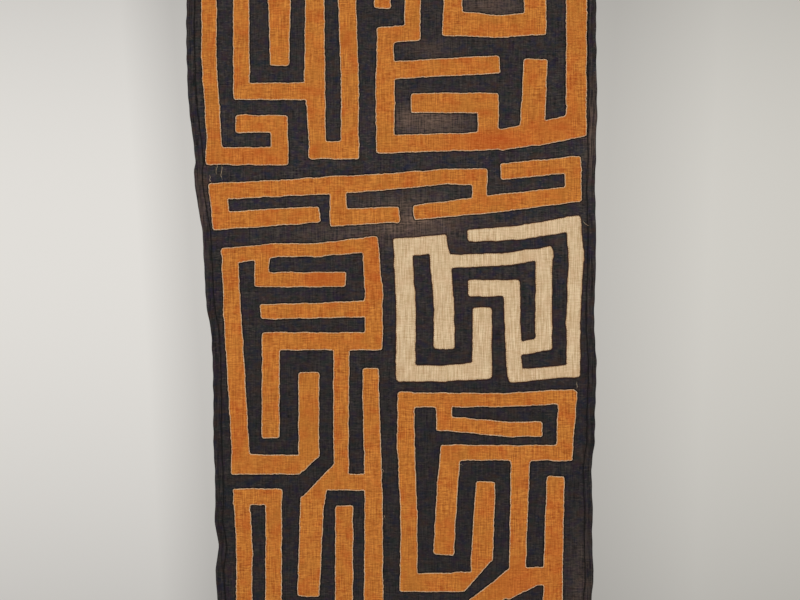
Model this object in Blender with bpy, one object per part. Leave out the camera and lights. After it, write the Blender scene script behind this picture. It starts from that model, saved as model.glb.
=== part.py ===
"""A long raffia cloth with appliqued meander bars, hanging by its top edge.

Metres, +Z up. The origin is the middle of the top edge, X runs across the cloth and
the front faces -Y. Places on the cloth are charted in centimetres: how far across from
the middle, and how far down from the top edge.
"""

import math

import bmesh
import bpy

CM = 0.01
MM = 0.001

# Driving sizes
LENGTH = 150.0 * CM
CLOTH_THICK = 1.2 * MM
APPLIQUE_THICK = 1.0 * MM
APPLIQUE_GAP = 0.3 * MM
HEM_WIDTH = 1.4 * CM
HEM_EXTRA = 1.0 * MM
HEM_STEP = 0.2 * CM
INNER_COLUMNS = 16

# How a bar of applique is cut
CORNER_TRIM = 2.5 * MM
CUTTER_DEPTH = 6.0 * CM
CUTTER_STEP = 0.5 * MM

# The uneven sides of the cloth: down, left, right, in centimetres
SIDES = [
    (0.0, -36.3, 33.5),
    (1.4, -36.2, 33.5),
    (8.0, -36.0, 33.3),
    (16.5, -36.2, 33.5),
    (25.0, -36.3, 33.4),
    (32.5, -36.4, 33.4),
    (39.5, -36.2, 33.5),
    (43.5, -35.9, 33.6),
    (48.5, -35.3, 33.4),
    (52.5, -34.8, 33.4),
    (54.0, -35.1, 33.3),
    (56.5, -34.9, 33.2),
    (60.0, -34.4, 33.3),
    (64.0, -33.7, 33.4),
    (68.0, -33.5, 33.4),
    (72.5, -33.3, 33.3),
    (77.0, -33.1, 33.1),
    (81.0, -32.3, 33.1),
    (85.0, -32.0, 33.4),
    (88.5, -31.9, 33.5),
    (94.0, -31.8, 33.3),
    (100.0, -31.8, 33.2),
    (105.0, -31.6, 32.6),
    (110.0, -31.5, 32.8),
    (114.0, -31.6, 32.8),
    (118.0, -30.9, 32.7),
    (122.0, -31.5, 33.0),
    (127.0, -31.1, 32.6),
    (137.0, -31.0, 32.5),
    (148.6, -31.2, 32.4),
    (150.0, -31.2, 32.4),
]

# Soft flutes that run down the cloth: where they are at the top, how far they lean to
# the side by the bottom, half their width, and their depth at the top and the bottom.
# Centimetres; a positive depth stands away from the viewer.
FLUTES = [
    # across, lean, spread, top, bottom
    (-30.0, 3.5, 7.0, 0.10, 0.45),
    (-17.0, 2.0, 8.0, -0.15, -0.35),
    (-4.0, 1.0, 7.0, 0.10, 0.30),
    (9.0, -1.0, 8.0, -0.10, -0.30),
    (22.0, -1.5, 7.0, 0.15, 0.35),
]

# Curl of the side hems: down, left, right, in centimetres away from the viewer
CURLS = [
    (0.0, 0.10, 0.10),
    (30.0, 0.35, 0.15),
    (54.0, -0.10, 0.30),
    (80.0, 0.55, 0.10),
    (100.0, 0.15, 0.50),
    (118.0, 0.60, 0.20),
    (150.0, 0.30, 0.35),
]
CURL_SPREAD = 3.2 * CM
BOW_DEPTH = 0.5 * CM

ORANGE = (0.55, 0.19, 0.032, 1.0)
CREAM = (0.62, 0.45, 0.24, 1.0)
CHARCOAL = (0.030, 0.029, 0.031, 1.0)

# Each piece is a set of bars, drawn as strokes of a broad square pen. Each row is a place
# that the middle of the pen passes, and the pen's width there: across, down, width.
HOOK_TOP_LEFT = [
    [(-20.5, 5.0, 2.75), (-32.5, 5.0, 2.75), (-32.5, 35.0, 2.5), (-31.5, 51.5, 2.5)],
    [(-31.5, 51.5, 3.0), (-20.5, 51.5, 3.0), (-20.5, 46.0, 2.75), (-26.5, 46.0, 3.0)],
    [(-20.5, 5.0, 3.25), (-20.5, 25.0, 3.75), (-20.5, 34.5, 3.25)],
]
COMB_TOP_LEFT = [
    [(-27.0, 11.0, 2.75), (-27.0, 40.5, 2.75)],
    [(-27.0, 40.5, 2.75), (-14.5, 40.5, 3.0)],
    [(-14.5, 12.5, 3.0), (-14.5, 38.5, 3.5), (-14.0, 50.5, 2.75)],
    [(-14.0, 50.5, 3.0), (-8.5, 50.5, 3.0), (-8.5, 40.0, 3.0), (-9.0, 25.0, 3.0)],
    [(-9.0, 25.0, 3.0), (-9.0, 5.0, 3.0), (-14.5, 5.0, 3.0)],
]
COMB_TOP_RIGHT = [
    [(2.5, 16.5, 2.5), (2.0, 30.5, 2.75), (-2.5, 31.0, 2.75)],
    [(-2.5, 31.0, 2.75), (-2.5, 40.0, 3.25), (-2.5, 49.5, 3.0)],
    [(-2.5, 49.5, 3.0), (13.0, 49.0, 3.0), (18.5, 48.5, 3.5), (24.5, 47.5, 4.0), (29.5, 46.5, 4.0)],
    [(30.0, 46.0, 3.5), (30.0, 25.0, 3.5), (30.0, 5.0, 3.25)],
    [(-2.5, 37.0, 3.0), (15.5, 36.0, 3.0)],
    [(3.5, 42.5, 3.25), (15.0, 42.5, 3.5), (15.0, 48.5, 3.5)],
    [(23.0, 37.0, 4.0), (22.5, 47.0, 4.25)],
]
CUP_TOP_RIGHT = [
    [(9.0, 11.5, 2.75), (9.0, 24.0, 3.0), (9.0, 29.0, 3.5)],
    [(9.5, 29.0, 4.5), (17.0, 29.5, 3.5), (22.5, 29.0, 4.0)],
    [(23.0, 29.0, 3.75), (23.0, 11.5, 3.75)],
]
BRACKET_TOP_RIGHT = [
    [(-3.0, 25.0, 2.75), (-2.5, 5.0, 2.75), (24.0, 5.0, 2.75)],
    [(16.0, 5.0, 3.0), (16.0, 22.0, 3.0)],
]
BAND = [
    [(-31.0, 57.5, 2.75), (-21.0, 57.0, 2.75), (-12.0, 56.5, 3.0), (-4.0, 56.0, 2.75)],
    [(-4.0, 56.0, 2.75), (2.5, 55.5, 2.75), (7.5, 55.0, 2.5), (13.5, 55.0, 2.75)],
    [(-31.0, 57.5, 3.0), (-30.5, 62.5, 3.0), (-15.0, 61.5, 2.75)],
    [(-10.5, 56.5, 2.75), (-10.5, 62.0, 2.75), (-1.5, 61.5, 2.75)],
    [(13.5, 55.0, 2.5), (13.5, 59.5, 2.5)],
    [(3.5, 61.0, 2.5), (17.0, 59.5, 3.0), (29.5, 58.0, 2.75)],
    [(29.5, 58.0, 2.75), (29.5, 53.0, 2.75), (18.5, 54.0, 2.75)],
]
MAZE_LEFT = [
    [(-5.0, 66.5, 2.5), (-14.0, 67.5, 2.25), (-21.0, 67.5, 2.25), (-29.0, 68.5, 2.75)],
    [(-29.0, 68.5, 2.75), (-28.5, 79.5, 3.0), (-27.0, 104.0, 3.0)],
    [(-27.0, 104.0, 3.5), (-18.5, 104.0, 3.25)],
    [(-16.5, 103.5, 2.5), (-15.5, 102.5, 2.5)],
    [(-15.5, 101.0, 3.5), (-15.5, 90.0, 3.5)],
    [(-23.5, 68.0, 2.5), (-23.5, 72.5, 2.5), (-10.5, 72.5, 2.5)],
    [(-5.0, 67.0, 2.75), (-4.5, 74.5, 3.0), (-4.5, 83.0, 3.0)],
    [(-22.5, 78.0, 2.5), (-4.5, 77.5, 2.75)],
    [(-4.5, 83.0, 3.0), (-22.0, 83.0, 3.0), (-22.0, 98.0, 3.0)],
    [(-10.0, 83.0, 2.75), (-10.0, 105.5, 2.5)],
    [(-4.5, 107.0, 2.75), (-11.0, 107.0, 2.75)],
    [(-5.0, 89.0, 2.75), (-4.5, 110.0, 3.0), (-4.5, 127.0, 3.25), (-4.5, 143.5, 3.0)],
    [(-11.0, 105.0, 1.75), (-15.5, 109.5, 1.75)],
    [(-13.5, 108.5, 2.0), (-14.0, 111.5, 2.0)],
    [(-15.0, 111.5, 4.0), (-15.5, 124.5, 3.75)],
]
BAR_BOTTOM_LEFT = [
    [(-9.5, 112.5, 3.0), (-9.5, 137.5, 3.0), (-15.5, 137.5, 3.0), (-15.5, 131.0, 3.25)],
]
ARCH_BOTTOM_LEFT = [
    [(-26.5, 143.5, 2.5), (-26.5, 118.5, 2.75), (-27.0, 109.5, 2.75), (-21.5, 109.5, 2.75)],
    [(-21.5, 109.5, 2.75), (-21.5, 143.5, 2.75), (-10.5, 143.5, 2.75)],
]
MAZE_CREAM = [
    [(0.5, 67.0, 3.0), (6.5, 66.5, 3.0), (7.0, 71.0, 3.5), (7.5, 77.0, 3.25), (7.5, 82.5, 3.5)],
    [(0.5, 67.0, 3.0), (1.0, 78.0, 3.25), (1.0, 88.0, 3.25)],
    [(1.0, 88.5, 2.75), (7.0, 88.5, 2.5), (14.0, 88.0, 3.0)],
    [(14.0, 87.5, 3.25), (14.0, 79.0, 3.25)],
    [(7.5, 69.5, 2.25), (18.5, 69.0, 2.0), (25.0, 68.0, 2.0)],
    [(24.5, 69.0, 2.75), (24.5, 83.0, 2.75)],
    [(24.5, 83.5, 2.25), (19.5, 84.5, 2.25)],
    [(13.0, 74.0, 2.75), (19.0, 74.0, 2.75), (19.5, 88.0, 2.5)],
    [(19.5, 89.0, 2.0), (29.5, 88.0, 2.0)],
    [(29.5, 88.0, 2.25), (29.5, 79.5, 2.25), (30.0, 68.5, 2.5), (29.5, 63.0, 2.5)],
    [(29.5, 63.0, 2.5), (20.5, 64.5, 2.25), (12.5, 65.0, 2.0)],
]
MAZE_RIGHT = [
    [(1.0, 93.0, 2.5), (18.5, 93.0, 2.25), (28.5, 92.5, 2.5)],
    [(1.0, 93.0, 2.75), (1.0, 100.0, 3.0), (1.5, 113.0, 2.75), (1.5, 124.0, 3.0)],
    [(1.5, 124.0, 3.0), (9.5, 124.0, 3.25)],
    [(9.5, 123.0, 1.5), (11.5, 123.0, 1.5)],
    [(11.0, 124.5, 1.25), (15.0, 120.0, 1.25)],
    [(13.0, 121.5, 1.75), (13.0, 120.0, 1.75)],
    [(14.0, 118.5, 3.75), (14.5, 108.5, 3.25)],
    [(7.5, 93.5, 2.75), (7.5, 97.0, 2.5), (18.5, 98.0, 2.5), (23.0, 98.0, 2.5)],
    [(28.5, 93.0, 3.25), (28.0, 102.0, 2.75), (18.5, 102.0, 2.5), (8.5, 102.0, 2.75)],
    [(8.5, 102.5, 3.5), (8.0, 108.5, 3.5), (7.5, 117.5, 3.5)],
    [(20.5, 102.5, 3.25), (20.0, 122.5, 2.75)],
    [(26.0, 123.0, 3.0), (20.5, 123.0, 3.0)],
    [(26.5, 107.5, 3.0), (26.0, 123.0, 3.25), (26.0, 143.5, 3.5)],
    [(22.0, 123.5, 3.0), (19.0, 125.0, 3.0)],
    [(18.5, 124.0, 3.5), (14.0, 127.5, 3.5)],
    [(13.5, 129.5, 4.0), (13.0, 138.0, 3.5)],
]
BAR_BOTTOM_RIGHT = [
    [(20.0, 130.5, 3.0), (20.0, 143.5, 3.0), (13.0, 143.5, 2.75)],
]
ARCH_BOTTOM_RIGHT = [
    [(1.5, 143.5, 2.75), (1.5, 129.5, 2.75), (7.0, 129.5, 2.75), (7.0, 143.5, 2.75)],
]
PIECES = {
    "hook_top_left": (HOOK_TOP_LEFT, "orange"),
    "comb_top_left": (COMB_TOP_LEFT, "orange"),
    "comb_top_right": (COMB_TOP_RIGHT, "orange"),
    "cup_top_right": (CUP_TOP_RIGHT, "orange"),
    "bracket_top_right": (BRACKET_TOP_RIGHT, "orange"),
    "band_middle": (BAND, "orange"),
    "maze_left": (MAZE_LEFT, "orange"),
    "bar_bottom_left": (BAR_BOTTOM_LEFT, "orange"),
    "arch_bottom_left": (ARCH_BOTTOM_LEFT, "orange"),
    "maze_cream": (MAZE_CREAM, "cream"),
    "maze_right": (MAZE_RIGHT, "orange"),
    "bar_bottom_right": (BAR_BOTTOM_RIGHT, "orange"),
    "arch_bottom_right": (ARCH_BOTTOM_RIGHT, "orange"),
}


def read_table(table, down, column):
    """The value of a table's column at a height, straight between its rows."""
    down_cm = down / CM
    for above, below in zip(table, table[1:]):
        if down_cm <= below[0]:
            share = (down_cm - above[0]) / (below[0] - above[0])
            return (above[column] + share * (below[column] - above[column])) * CM
    return table[-1][column] * CM


def depth_at(across, down):
    """How far the middle of the cloth lies from the plane y = 0, away from the viewer."""
    share = down / LENGTH
    depth = BOW_DEPTH * math.sin(math.pi * share) ** 2
    for place, lean, spread, top, bottom in FLUTES:
        away = (across - (place + lean * share) * CM) / (spread * CM)
        depth += (top + (bottom - top) * share) * CM * math.exp(-away * away)
    left = (across - read_table(SIDES, down, 1)) / CURL_SPREAD
    right = (read_table(SIDES, down, 2) - across) / CURL_SPREAD
    depth += read_table(CURLS, down, 1) * math.exp(-left * left)
    depth += read_table(CURLS, down, 2) * math.exp(-right * right)
    return depth


def column_places(down):
    """Where the columns of the cloth's grid stand at a height, with both hems marked off."""
    left = read_table(SIDES, down, 1)
    right = read_table(SIDES, down, 2)
    inner_left = left + HEM_WIDTH + HEM_STEP
    inner_right = right - HEM_WIDTH - HEM_STEP
    step = (inner_right - inner_left) / INNER_COLUMNS
    inner = [inner_left + step * i for i in range(INNER_COLUMNS + 1)]
    return [left, left + HEM_WIDTH, *inner, right - HEM_WIDTH, right]


def in_hem(column, row, columns, rows):
    """True for the two outermost columns and rows on each side, which mark off the hems."""
    return min(column, columns - 1 - column, row, rows - 1 - row) < 2


def grid_sheet(name, front, thickness, hem_extra):
    """A closed sheet on the hanging surface. Its front lies `front` behind the surface, and
    its hems are thicker at the back by hem_extra."""
    rows = [row[0] * CM for row in SIDES]
    columns = len(column_places(0.0))
    bm = bmesh.new()
    backed = bm.verts.layers.float.new("backed")
    bmesh.ops.create_grid(bm, x_segments=columns - 1, y_segments=len(rows) - 1, size=1.0)
    for index, vertex in enumerate(bm.verts):
        row, column = divmod(index, columns)
        down = rows[row]
        across = column_places(down)[column]
        vertex.co = (across, depth_at(across, down) + front, -down)
        vertex[backed] = thickness
        if in_hem(column, row, columns, len(rows)):
            vertex[backed] += hem_extra
    bmesh.ops.triangulate(bm, faces=bm.faces[:])
    back = bmesh.ops.extrude_face_region(bm, geom=bm.faces[:])
    for item in back["geom"]:
        if isinstance(item, bmesh.types.BMVert):
            item.co.y += item[backed]
    bm.verts.layers.float.remove(backed)
    bmesh.ops.recalc_face_normals(bm, faces=bm.faces[:])
    mesh = bpy.data.meshes.new(name)
    bm.to_mesh(mesh)
    bm.free()
    return mesh


def add_bar(bm, start, end, depth):
    """Adds one bar to bm, as a prism through the cloth. It runs half a width past both places,
    and its corners are trimmed."""
    ax, az = start[0] * CM, -start[1] * CM
    bx, bz = end[0] * CM, -end[1] * CM
    run = math.hypot(bx - ax, bz - az)
    along = ((bx - ax) / run, (bz - az) / run)
    side = (-along[1], along[0])
    half_start = start[2] * CM / 2
    half_end = end[2] * CM / 2
    sections = [
        (-half_start, half_start - CORNER_TRIM),
        (-half_start + CORNER_TRIM, half_start),
        (run + half_end - CORNER_TRIM, half_end),
        (run + half_end, half_end - CORNER_TRIM),
    ]
    made = bmesh.ops.create_grid(bm, x_segments=1, y_segments=len(sections) - 1, size=1.0)
    for index, vertex in enumerate(made["verts"]):
        distance, reach = sections[index // 2]
        offset = reach if index % 2 else -reach
        vertex.co = (
            ax + along[0] * distance + side[0] * offset,
            -depth / 2,
            az + along[1] * distance + side[1] * offset,
        )
    faces = list({face for vertex in made["verts"] for face in vertex.link_faces})
    moved = bmesh.ops.extrude_face_region(bm, geom=faces)
    for item in moved["geom"]:
        if isinstance(item, bmesh.types.BMVert):
            item.co.y += depth


def outline_cutter(name, strokes, collection):
    """All the bars of one piece as overlapping prisms, which the piece is cut with. Each is a
    little deeper than the last, so that no two of their ends lie in one plane."""
    bm = bmesh.new()
    depth = CUTTER_DEPTH
    for points in strokes:
        for start, end in zip(points, points[1:]):
            add_bar(bm, start, end, depth)
            depth += CUTTER_STEP
    bmesh.ops.recalc_face_normals(bm, faces=bm.faces[:])
    mesh = bpy.data.meshes.new(f"outline_{name}")
    bm.to_mesh(mesh)
    bm.free()
    cutter = bpy.data.objects.new(f"outline_{name}", mesh)
    cutter.hide_render = True
    cutter.display_type = "WIRE"
    collection.objects.link(cutter)
    return cutter


def cloth_material(name, colour, roughness):
    material = bpy.data.materials.new(name)
    material.use_nodes = True
    shader = material.node_tree.nodes["Principled BSDF"]
    shader.inputs["Base Color"].default_value = colour
    shader.inputs["Roughness"].default_value = roughness
    shader.inputs["Metallic"].default_value = 0.0
    return material


def add_ground(collection, top_edge):
    """The dark cloth itself, with its turned hems."""
    mesh = grid_sheet("ground_cloth", -CLOTH_THICK / 2, CLOTH_THICK, HEM_EXTRA)
    mesh.materials.append(cloth_material("charcoal_raffia", CHARCOAL, 0.85))
    ground = bpy.data.objects.new("ground_cloth", mesh)
    ground.parent = top_edge
    collection.objects.link(ground)


def add_applique(collection, cutters, top_edge):
    """The sewn-on pieces. Each is a sheet just in front of the ground, cut to its bars."""
    front = -CLOTH_THICK / 2 - APPLIQUE_GAP - APPLIQUE_THICK
    layer = grid_sheet("applique_layer", front, APPLIQUE_THICK, 0.0)
    materials = {
        "orange": cloth_material("orange_raffia", ORANGE, 0.8),
        "cream": cloth_material("cream_raffia", CREAM, 0.8),
    }
    for name, (strokes, colour) in PIECES.items():
        mesh = layer.copy()
        mesh.name = name
        mesh.materials.append(materials[colour])
        piece = bpy.data.objects.new(name, mesh)
        piece.parent = top_edge
        collection.objects.link(piece)
        cut = piece.modifiers.new("outline", "BOOLEAN")
        cut.operation = "INTERSECT"
        cut.solver = "EXACT"
        cut.use_self = True
        cut.object = outline_cutter(name, strokes, cutters)
    bpy.data.meshes.remove(layer)


def main():
    for old in list(bpy.data.objects):
        bpy.data.objects.remove(old)
    cloth = bpy.data.collections.new("raffia_cloth")
    cutters = bpy.data.collections.new("cutters")
    bpy.context.scene.collection.children.link(cloth)
    bpy.context.scene.collection.children.link(cutters)
    top_edge = bpy.data.objects.new("top_edge", None)
    cloth.objects.link(top_edge)
    add_ground(cloth, top_edge)
    add_applique(cloth, cutters, top_edge)


main()
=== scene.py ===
"""The raffia cloth as it hangs: a dark woven ground with turned hems, and meander bars of
orange and cream raffia sewn on it with an overcast edge.

Metres, +Z up, the cloth's front faces -Y. Places on the cloth are charted in centimetres,
across from the middle and down from the top edge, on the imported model's own hanging surface.
"""

import math
import random

import bmesh
import bpy
import numpy as np
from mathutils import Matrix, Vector
from mathutils.geometry import delaunay_2d_cdt


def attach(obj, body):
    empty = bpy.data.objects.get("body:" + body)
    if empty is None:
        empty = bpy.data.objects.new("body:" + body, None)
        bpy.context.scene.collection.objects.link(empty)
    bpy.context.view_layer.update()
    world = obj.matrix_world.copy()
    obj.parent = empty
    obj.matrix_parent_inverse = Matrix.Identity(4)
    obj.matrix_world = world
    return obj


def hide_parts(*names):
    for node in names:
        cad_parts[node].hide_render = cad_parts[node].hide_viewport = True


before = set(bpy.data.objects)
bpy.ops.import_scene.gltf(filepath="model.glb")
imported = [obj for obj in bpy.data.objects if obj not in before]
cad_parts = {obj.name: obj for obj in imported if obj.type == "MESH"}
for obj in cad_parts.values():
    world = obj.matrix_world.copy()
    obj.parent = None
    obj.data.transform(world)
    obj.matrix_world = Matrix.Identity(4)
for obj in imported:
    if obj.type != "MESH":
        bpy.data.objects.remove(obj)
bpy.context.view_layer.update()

CM = 0.01
MM = 0.001

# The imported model's own sizes
LENGTH = 150.0 * CM
CLOTH_THICK = 1.2 * MM
HEM_WIDTH = 1.4 * CM
HEM_EXTRA = 1.0 * MM
CURL_SPREAD = 3.2 * CM
BOW_DEPTH = 0.5 * CM

# The uneven sides of the cloth: down, left, right, in centimetres
SIDES = [
    (0.0, -36.3, 33.5),
    (1.4, -36.2, 33.5),
    (8.0, -36.0, 33.3),
    (16.5, -36.2, 33.5),
    (25.0, -36.3, 33.4),
    (32.5, -36.4, 33.4),
    (39.5, -36.2, 33.5),
    (43.5, -35.9, 33.6),
    (48.5, -35.3, 33.4),
    (52.5, -34.8, 33.4),
    (54.0, -35.1, 33.3),
    (56.5, -34.9, 33.2),
    (60.0, -34.4, 33.3),
    (64.0, -33.7, 33.4),
    (68.0, -33.5, 33.4),
    (72.5, -33.3, 33.3),
    (77.0, -33.1, 33.1),
    (81.0, -32.3, 33.1),
    (85.0, -32.0, 33.4),
    (88.5, -31.9, 33.5),
    (94.0, -31.8, 33.3),
    (100.0, -31.8, 33.2),
    (105.0, -31.6, 32.6),
    (110.0, -31.5, 32.8),
    (114.0, -31.6, 32.8),
    (118.0, -30.9, 32.7),
    (122.0, -31.5, 33.0),
    (127.0, -31.1, 32.6),
    (137.0, -31.0, 32.5),
    (148.6, -31.2, 32.4),
    (150.0, -31.2, 32.4),
]

# Soft flutes that run down the cloth, in centimetres: where they are at the top, how far
# they lean to the side by the bottom, half their width, and their depth at both ends
FLUTES = [
    # across, lean, spread, top, bottom
    (-30.0, 3.5, 7.0, 0.10, 0.45),
    (-17.0, 2.0, 8.0, -0.15, -0.35),
    (-4.0, 1.0, 7.0, 0.10, 0.30),
    (9.0, -1.0, 8.0, -0.10, -0.30),
    (22.0, -1.5, 7.0, 0.15, 0.35),
]

# Curl of the side hems: down, left, right, in centimetres away from the viewer
CURLS = [
    (0.0, 0.10, 0.10),
    (30.0, 0.35, 0.15),
    (54.0, -0.10, 0.30),
    (80.0, 0.55, 0.10),
    (100.0, 0.15, 0.50),
    (118.0, 0.60, 0.20),
    (150.0, 0.30, 0.35),
]

# Each sewn-on piece as strokes of a broad square pen: across, down, width
HOOK_TOP_LEFT = [
    [(-20.5, 5.0, 2.75), (-32.5, 5.0, 2.75), (-32.5, 35.0, 2.5), (-31.5, 51.5, 2.5)],
    [(-31.5, 51.5, 3.0), (-20.5, 51.5, 3.0), (-20.5, 46.0, 2.75), (-26.5, 46.0, 3.0)],
    [(-20.5, 5.0, 3.25), (-20.5, 25.0, 3.75), (-20.5, 34.5, 3.25)],
]
COMB_TOP_LEFT = [
    [(-27.0, 11.0, 2.75), (-27.0, 40.5, 2.75)],
    [(-27.0, 40.5, 2.75), (-14.5, 40.5, 3.0)],
    [(-14.5, 12.5, 3.0), (-14.5, 38.5, 3.5), (-14.0, 50.5, 2.75)],
    [(-14.0, 50.5, 3.0), (-8.5, 50.5, 3.0), (-8.5, 40.0, 3.0), (-9.0, 25.0, 3.0)],
    [(-9.0, 25.0, 3.0), (-9.0, 5.0, 3.0), (-14.5, 5.0, 3.0)],
]
COMB_TOP_RIGHT = [
    [(2.5, 16.5, 2.5), (2.0, 30.5, 2.75), (-2.5, 31.0, 2.75)],
    [(-2.5, 31.0, 2.75), (-2.5, 40.0, 3.25), (-2.5, 49.5, 3.0)],
    [(-2.5, 49.5, 3.0), (13.0, 49.0, 3.0), (18.5, 48.5, 3.5), (24.5, 47.5, 4.0), (29.5, 46.5, 4.0)],
    [(30.0, 46.0, 3.5), (30.0, 25.0, 3.5), (30.0, 5.0, 3.25)],
    [(-2.5, 37.0, 3.0), (15.5, 36.0, 3.0)],
    [(3.5, 42.5, 3.25), (15.0, 42.5, 3.5), (15.0, 48.5, 3.5)],
    [(23.0, 37.0, 4.0), (22.5, 47.0, 4.25)],
]
CUP_TOP_RIGHT = [
    [(9.0, 11.5, 2.75), (9.0, 24.0, 3.0), (9.0, 29.0, 3.5)],
    [(9.5, 29.0, 4.5), (17.0, 29.5, 3.5), (22.5, 29.0, 4.0)],
    [(23.0, 29.0, 3.75), (23.0, 11.5, 3.75)],
]
BRACKET_TOP_RIGHT = [
    [(-3.0, 25.0, 2.75), (-2.5, 5.0, 2.75), (24.0, 5.0, 2.75)],
    [(16.0, 5.0, 3.0), (16.0, 22.0, 3.0)],
]
BAND = [
    [(-31.0, 57.5, 2.75), (-21.0, 57.0, 2.75), (-12.0, 56.5, 3.0), (-4.0, 56.0, 2.75)],
    [(-4.0, 56.0, 2.75), (2.5, 55.5, 2.75), (7.5, 55.0, 2.5), (13.5, 55.0, 2.75)],
    [(-31.0, 57.5, 3.0), (-30.5, 62.5, 3.0), (-15.0, 61.5, 2.75)],
    [(-10.5, 56.5, 2.75), (-10.5, 62.0, 2.75), (-1.5, 61.5, 2.75)],
    [(13.5, 55.0, 2.5), (13.5, 59.5, 2.5)],
    [(3.5, 61.0, 2.5), (17.0, 59.5, 3.0), (29.5, 58.0, 2.75)],
    [(29.5, 58.0, 2.75), (29.5, 53.0, 2.75), (18.5, 54.0, 2.75)],
]
MAZE_LEFT = [
    [(-5.0, 66.5, 2.5), (-14.0, 67.5, 2.25), (-21.0, 67.5, 2.25), (-29.0, 68.5, 2.75)],
    [(-29.0, 68.5, 2.75), (-28.5, 79.5, 3.0), (-27.0, 104.0, 3.0)],
    [(-27.0, 104.0, 3.5), (-18.5, 104.0, 3.25)],
    [(-16.5, 103.5, 2.5), (-15.5, 102.5, 2.5)],
    [(-15.5, 101.0, 3.5), (-15.5, 90.0, 3.5)],
    [(-23.5, 68.0, 2.5), (-23.5, 72.5, 2.5), (-10.5, 72.5, 2.5)],
    [(-5.0, 67.0, 2.75), (-4.5, 74.5, 3.0), (-4.5, 83.0, 3.0)],
    [(-22.5, 78.0, 2.5), (-4.5, 77.5, 2.75)],
    [(-4.5, 83.0, 3.0), (-22.0, 83.0, 3.0), (-22.0, 98.0, 3.0)],
    [(-10.0, 83.0, 2.75), (-10.0, 105.5, 2.5)],
    [(-4.5, 107.0, 2.75), (-11.0, 107.0, 2.75)],
    [(-5.0, 89.0, 2.75), (-4.5, 110.0, 3.0), (-4.5, 127.0, 3.25), (-4.5, 143.5, 3.0)],
    [(-11.0, 105.0, 1.75), (-15.5, 109.5, 1.75)],
    [(-13.5, 108.5, 2.0), (-14.0, 111.5, 2.0)],
    [(-15.0, 111.5, 4.0), (-15.5, 124.5, 3.75)],
]
BAR_BOTTOM_LEFT = [
    [(-9.5, 112.5, 3.0), (-9.5, 137.5, 3.0), (-15.5, 137.5, 3.0), (-15.5, 131.0, 3.25)],
]
ARCH_BOTTOM_LEFT = [
    [(-26.5, 143.5, 2.5), (-26.5, 118.5, 2.75), (-27.0, 109.5, 2.75), (-21.5, 109.5, 2.75)],
    [(-21.5, 109.5, 2.75), (-21.5, 143.5, 2.75), (-10.5, 143.5, 2.75)],
]
MAZE_CREAM = [
    [(0.5, 67.0, 3.0), (6.5, 66.5, 3.0), (7.0, 71.0, 3.5), (7.5, 77.0, 3.25), (7.5, 82.5, 3.5)],
    [(0.5, 67.0, 3.0), (1.0, 78.0, 3.25), (1.0, 88.0, 3.25)],
    [(1.0, 88.5, 2.75), (7.0, 88.5, 2.5), (14.0, 88.0, 3.0)],
    [(14.0, 87.5, 3.25), (14.0, 79.0, 3.25)],
    [(7.5, 69.5, 2.25), (18.5, 69.0, 2.0), (25.0, 68.0, 2.0)],
    [(24.5, 69.0, 2.75), (24.5, 83.0, 2.75)],
    [(24.5, 83.5, 2.25), (19.5, 84.5, 2.25)],
    [(13.0, 74.0, 2.75), (19.0, 74.0, 2.75), (19.5, 88.0, 2.5)],
    [(19.5, 89.0, 2.0), (29.5, 88.0, 2.0)],
    [(29.5, 88.0, 2.25), (29.5, 79.5, 2.25), (30.0, 68.5, 2.5), (29.5, 63.0, 2.5)],
    [(29.5, 63.0, 2.5), (20.5, 64.5, 2.25), (12.5, 65.0, 2.0)],
]
MAZE_RIGHT = [
    [(1.0, 93.0, 2.5), (18.5, 93.0, 2.25), (28.5, 92.5, 2.5)],
    [(1.0, 93.0, 2.75), (1.0, 100.0, 3.0), (1.5, 113.0, 2.75), (1.5, 124.0, 3.0)],
    [(1.5, 124.0, 3.0), (9.5, 124.0, 3.25)],
    [(9.5, 123.0, 1.5), (11.5, 123.0, 1.5)],
    [(11.0, 124.5, 1.25), (15.0, 120.0, 1.25)],
    [(13.0, 121.5, 1.75), (13.0, 120.0, 1.75)],
    [(14.0, 118.5, 3.75), (14.5, 108.5, 3.25)],
    [(7.5, 93.5, 2.75), (7.5, 97.0, 2.5), (18.5, 98.0, 2.5), (23.0, 98.0, 2.5)],
    [(28.5, 93.0, 3.25), (28.0, 102.0, 2.75), (18.5, 102.0, 2.5), (8.5, 102.0, 2.75)],
    [(8.5, 102.5, 3.5), (8.0, 108.5, 3.5), (7.5, 117.5, 3.5)],
    [(20.5, 102.5, 3.25), (20.0, 122.5, 2.75)],
    [(26.0, 123.0, 3.0), (20.5, 123.0, 3.0)],
    [(26.5, 107.5, 3.0), (26.0, 123.0, 3.25), (26.0, 143.5, 3.5)],
    [(22.0, 123.5, 3.0), (19.0, 125.0, 3.0)],
    [(18.5, 124.0, 3.5), (14.0, 127.5, 3.5)],
    [(13.5, 129.5, 4.0), (13.0, 138.0, 3.5)],
]
BAR_BOTTOM_RIGHT = [
    [(20.0, 130.5, 3.0), (20.0, 143.5, 3.0), (13.0, 143.5, 2.75)],
]
ARCH_BOTTOM_RIGHT = [
    [(1.5, 143.5, 2.75), (1.5, 129.5, 2.75), (7.0, 129.5, 2.75), (7.0, 143.5, 2.75)],
]
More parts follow.
